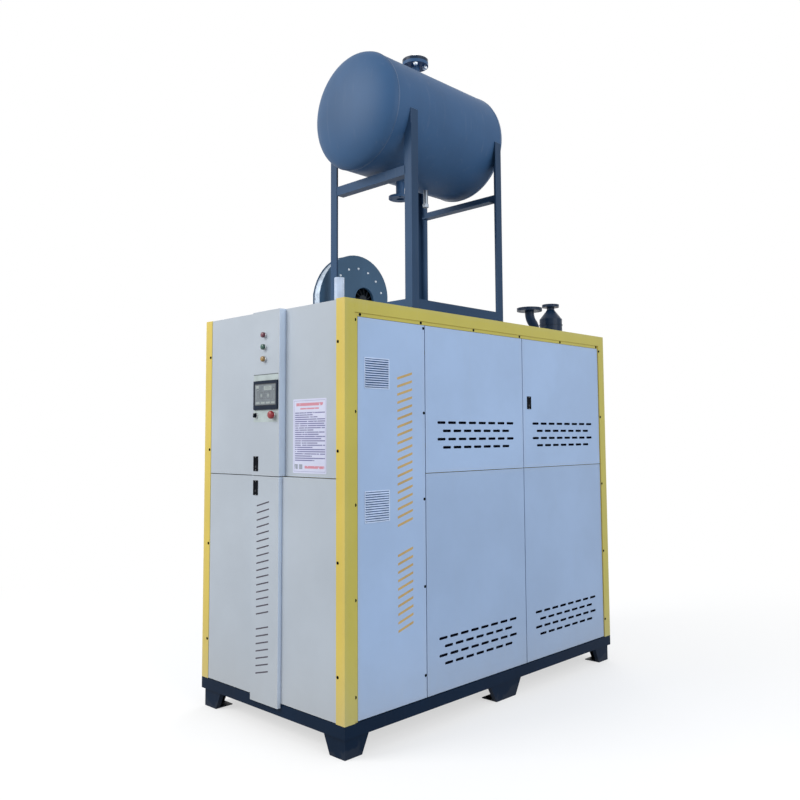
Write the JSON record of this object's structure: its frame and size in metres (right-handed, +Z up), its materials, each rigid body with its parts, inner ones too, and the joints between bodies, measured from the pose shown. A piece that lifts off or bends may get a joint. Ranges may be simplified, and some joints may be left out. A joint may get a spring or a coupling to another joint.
{
  "type": "thermal oil heater",
  "caption": "Enclosed electric thermal oil heater with hinged doors, vented side panels, roof blower, oil pump circuit and a cylindrical expansion tank on an angle-iron stand.",
  "frame": {"origin": "centre of the four corner anchor holes, on the floor plane under the feet", "axes": "+Z up, control face towards -Y, long panelled side towards +X"},
  "size_m": [1.18, 2.431, 3.629],
  "materials": {
    "base_navy": "semi-gloss dark navy paint",
    "frame_yellow": "satin yellow paint",
    "panel_pale": "satin pale grey powder coat",
    "panel_blue": "satin pale blue-grey powder coat",
    "roof_grey": "satin light grey paint",
    "tank_blue": "semi-gloss blue-grey paint",
    "dark_pipe": "semi-gloss dark blue-grey paint",
    "blower_blue": "semi-gloss dark blue-grey paint",
    "bright_sheet": "bright galvanised sheet",
    "pump_blue": "gloss blue machine enamel",
    "steel": "machined steel",
    "black_plastic": "matte black moulding",
    "black_lock": "satin black zinc casting",
    "red_lens": "clear red lens",
    "green_lens": "clear green lens",
    "amber_lens": "clear amber lens",
    "red_cap": "gloss red mushroom cap",
    "screen": "dark glossy display window",
    "grille": "satin light grey coat",
    "jacket": "rolled cladding sheet",
    "red_wheel": "red enamel",
    "white_plate": "white mounting plate",
    "gear_grey": "grey moulded devices"
  },
  "bodies": {
    "cabinet": {"base_frame": "base_navy", "feet": "base_navy", "inner_skid": "base_navy", "cabinet_frame": "frame_yellow", "roof_panel": "roof_grey", "partition_wall": "roof_grey", "front_upper_panel": "panel_pale", "front_lower_panel": "panel_pale", "rear_panels": "panel_pale", "side_louvre_panel": "panel_blue", "side_lower_panels": "panel_blue", "left_side_panels": "panel_blue", "louvre_grilles": "grille", "hinge_brackets": "steel", "hinge_pins": "steel", "panel_screws": "black_lock", "blower_scroll": "bright_sheet", "blower_side_plates": "blower_blue", "blower_motor": "blower_blue", "conduit_riser": "grille", "tank_shell": "tank_blue", "tank_heads": "tank_blue", "tank_nozzles": "tank_blue", "tank_cover_flange": "dark_pipe", "tank_drain_plug": "steel", "tank_stand": "tank_blue", "flange_bolts": "steel", "heater_vessel": "dark_pipe", "vessel_jacket": "jacket", "heater_bundle": "steel", "terminal_box": "roof_grey", "pump_casing": "pump_blue", "pump_motor": "pump_blue", "oil_pipes": "tank_blue", "hot_outlet_pipe": "dark_pipe", "separator": "dark_pipe", "valve_body": "pump_blue", "electrical_plate": "white_plate", "switchgear": "gear_grey"},
    "upper_front_door": {"front_upper_door": "panel_pale", "front_upper_lock_case": "black_lock", "lamp_red": "red_lens", "lamp_green": "green_lens", "lamp_amber": "amber_lens", "switch_collars": "steel", "display_bezel": "black_plastic", "display_screen": "screen"},
    "lower_front_door": {"front_lower_door": "panel_pale", "front_lower_lock_case": "black_lock"},
    "front_side_door": {"side_door_front": "panel_blue"},
    "rear_side_door": {"side_door_rear": "panel_blue", "side_lock_case": "black_lock"},
    "upper_front_lever": {"front_upper_lock_lever": "black_lock"},
    "lower_front_lever": {"front_lower_lock_lever": "black_lock"},
    "side_lever": {"side_lock_lever": "black_lock"},
    "selector": {"selector_knob": "black_plastic"},
    "stop": {"stop_button": "red_cap"},
    "fan_wheel": {"blower_wheel": "steel"},
    "pump_shaft": {"pump_rotor": "steel"},
    "handwheel": {"valve_handwheel": "red_wheel"}
  },
  "joints": [
    {"name": "upper_front_door_hinge", "type": "hinge", "parent": "cabinet", "child": "upper_front_door", "pos_m": [-0.5165, -1.138, 1.68], "axis": [0, 0, -1], "range_deg": [0, 100]},
    {"name": "lower_front_door_hinge", "type": "hinge", "parent": "cabinet", "child": "lower_front_door", "pos_m": [-0.5165, -1.138, 0.7], "axis": [0, 0, -1], "range_deg": [0, 100]},
    {"name": "front_side_door_hinge", "type": "hinge", "parent": "cabinet", "child": "front_side_door", "pos_m": [0.5745, -0.585, 1.64], "axis": [0, 0, -1], "range_deg": [0, 100]},
    {"name": "rear_side_door_hinge", "type": "hinge", "parent": "cabinet", "child": "rear_side_door", "pos_m": [0.5745, 1.07, 1.64], "axis": [0, 0, 1], "range_deg": [0, 100]},
    {"name": "upper_front_lever_pivot", "type": "hinge", "parent": "upper_front_door", "child": "upper_front_lever", "pos_m": [-0.0755, -1.1635, 1.342], "axis": [-1, 0, 0], "range_deg": [0, 75]},
    {"name": "lower_front_lever_pivot", "type": "hinge", "parent": "lower_front_door", "child": "lower_front_lever", "pos_m": [-0.0755, -1.1635, 1.22], "axis": [-1, 0, 0], "range_deg": [0, 75]},
    {"name": "side_lever_pivot", "type": "hinge", "parent": "rear_side_door", "child": "side_lever", "pos_m": [0.58, 0.304, 1.66849], "axis": [0, -1, 0], "range_deg": [0, 75]},
    {"name": "selector_turn", "type": "hinge", "parent": "upper_front_door", "child": "selector", "pos_m": [-0.0755, -1.165, 1.56201], "axis": [0, -1, 0], "range_deg": [-45, 45]},
    {"name": "fan_spin", "type": "hinge", "parent": "cabinet", "child": "fan_wheel", "pos_m": [-0.1425, -0.373, 2.26], "axis": [1, 0, 0], "continuous": true},
    {"name": "pump_spin", "type": "hinge", "parent": "cabinet", "child": "pump_shaft", "pos_m": [0.2875, 0.155, 0.43], "axis": [0, 1, 0], "continuous": true},
    {"name": "valve_turn", "type": "hinge", "parent": "cabinet", "child": "handwheel", "pos_m": [0.4275, 0.315, 0.92], "axis": [1, 0, 0], "range_deg": [0, 720]},
    {"name": "stop_press", "type": "slide", "parent": "upper_front_door", "child": "stop", "axis": [0, 1, 0], "range_m": [0, 0.004], "stiffness_N_per_m": 900}
  ]
}
